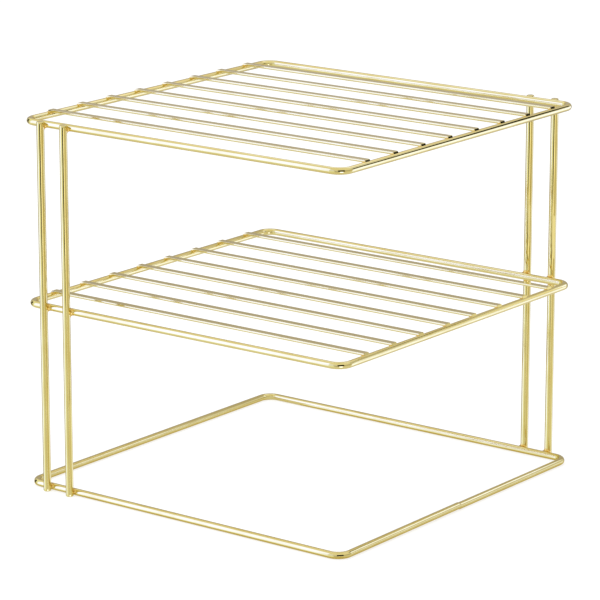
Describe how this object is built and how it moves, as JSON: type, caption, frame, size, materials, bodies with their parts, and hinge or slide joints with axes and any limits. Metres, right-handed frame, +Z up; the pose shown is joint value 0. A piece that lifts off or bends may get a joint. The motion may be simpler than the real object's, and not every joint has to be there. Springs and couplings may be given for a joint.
{
  "type": "corner storage rack",
  "caption": "Free-standing square wire rack with slatted shelves over an open base ring, held by paired uprights on opposite corners, for a worktop or cupboard corner.",
  "frame": {"origin": "on the floor under the middle of the rack", "axes": "+Z up; the cross strips run along X; +Y points from the side that carries the left pair of uprights to the side that carries the right pair"},
  "size_m": [0.254, 0.2628, 0.244],
  "materials": {
    "ring_wire": "polished",
    "cross_strip": "polished",
    "upright_wire": "polished"
  },
  "bodies": {
    "root": {"base_ring": "ring_wire", "middle_ring": "ring_wire", "top_ring": "ring_wire", "middle_cross_strip_1": "cross_strip", "middle_cross_strip_2": "cross_strip", "middle_cross_strip_3": "cross_strip", "middle_cross_strip_4": "cross_strip", "middle_cross_strip_5": "cross_strip", "middle_cross_strip_6": "cross_strip", "middle_cross_strip_7": "cross_strip", "middle_cross_strip_8": "cross_strip", "top_cross_strip_1": "cross_strip", "top_cross_strip_2": "cross_strip", "top_cross_strip_3": "cross_strip", "top_cross_strip_4": "cross_strip", "top_cross_strip_5": "cross_strip", "top_cross_strip_6": "cross_strip", "top_cross_strip_7": "cross_strip", "top_cross_strip_8": "cross_strip", "left_outer_upright": "upright_wire", "left_inner_upright": "upright_wire", "right_inner_upright": "upright_wire", "right_outer_upright": "upright_wire"}
  },
  "joints": []
}
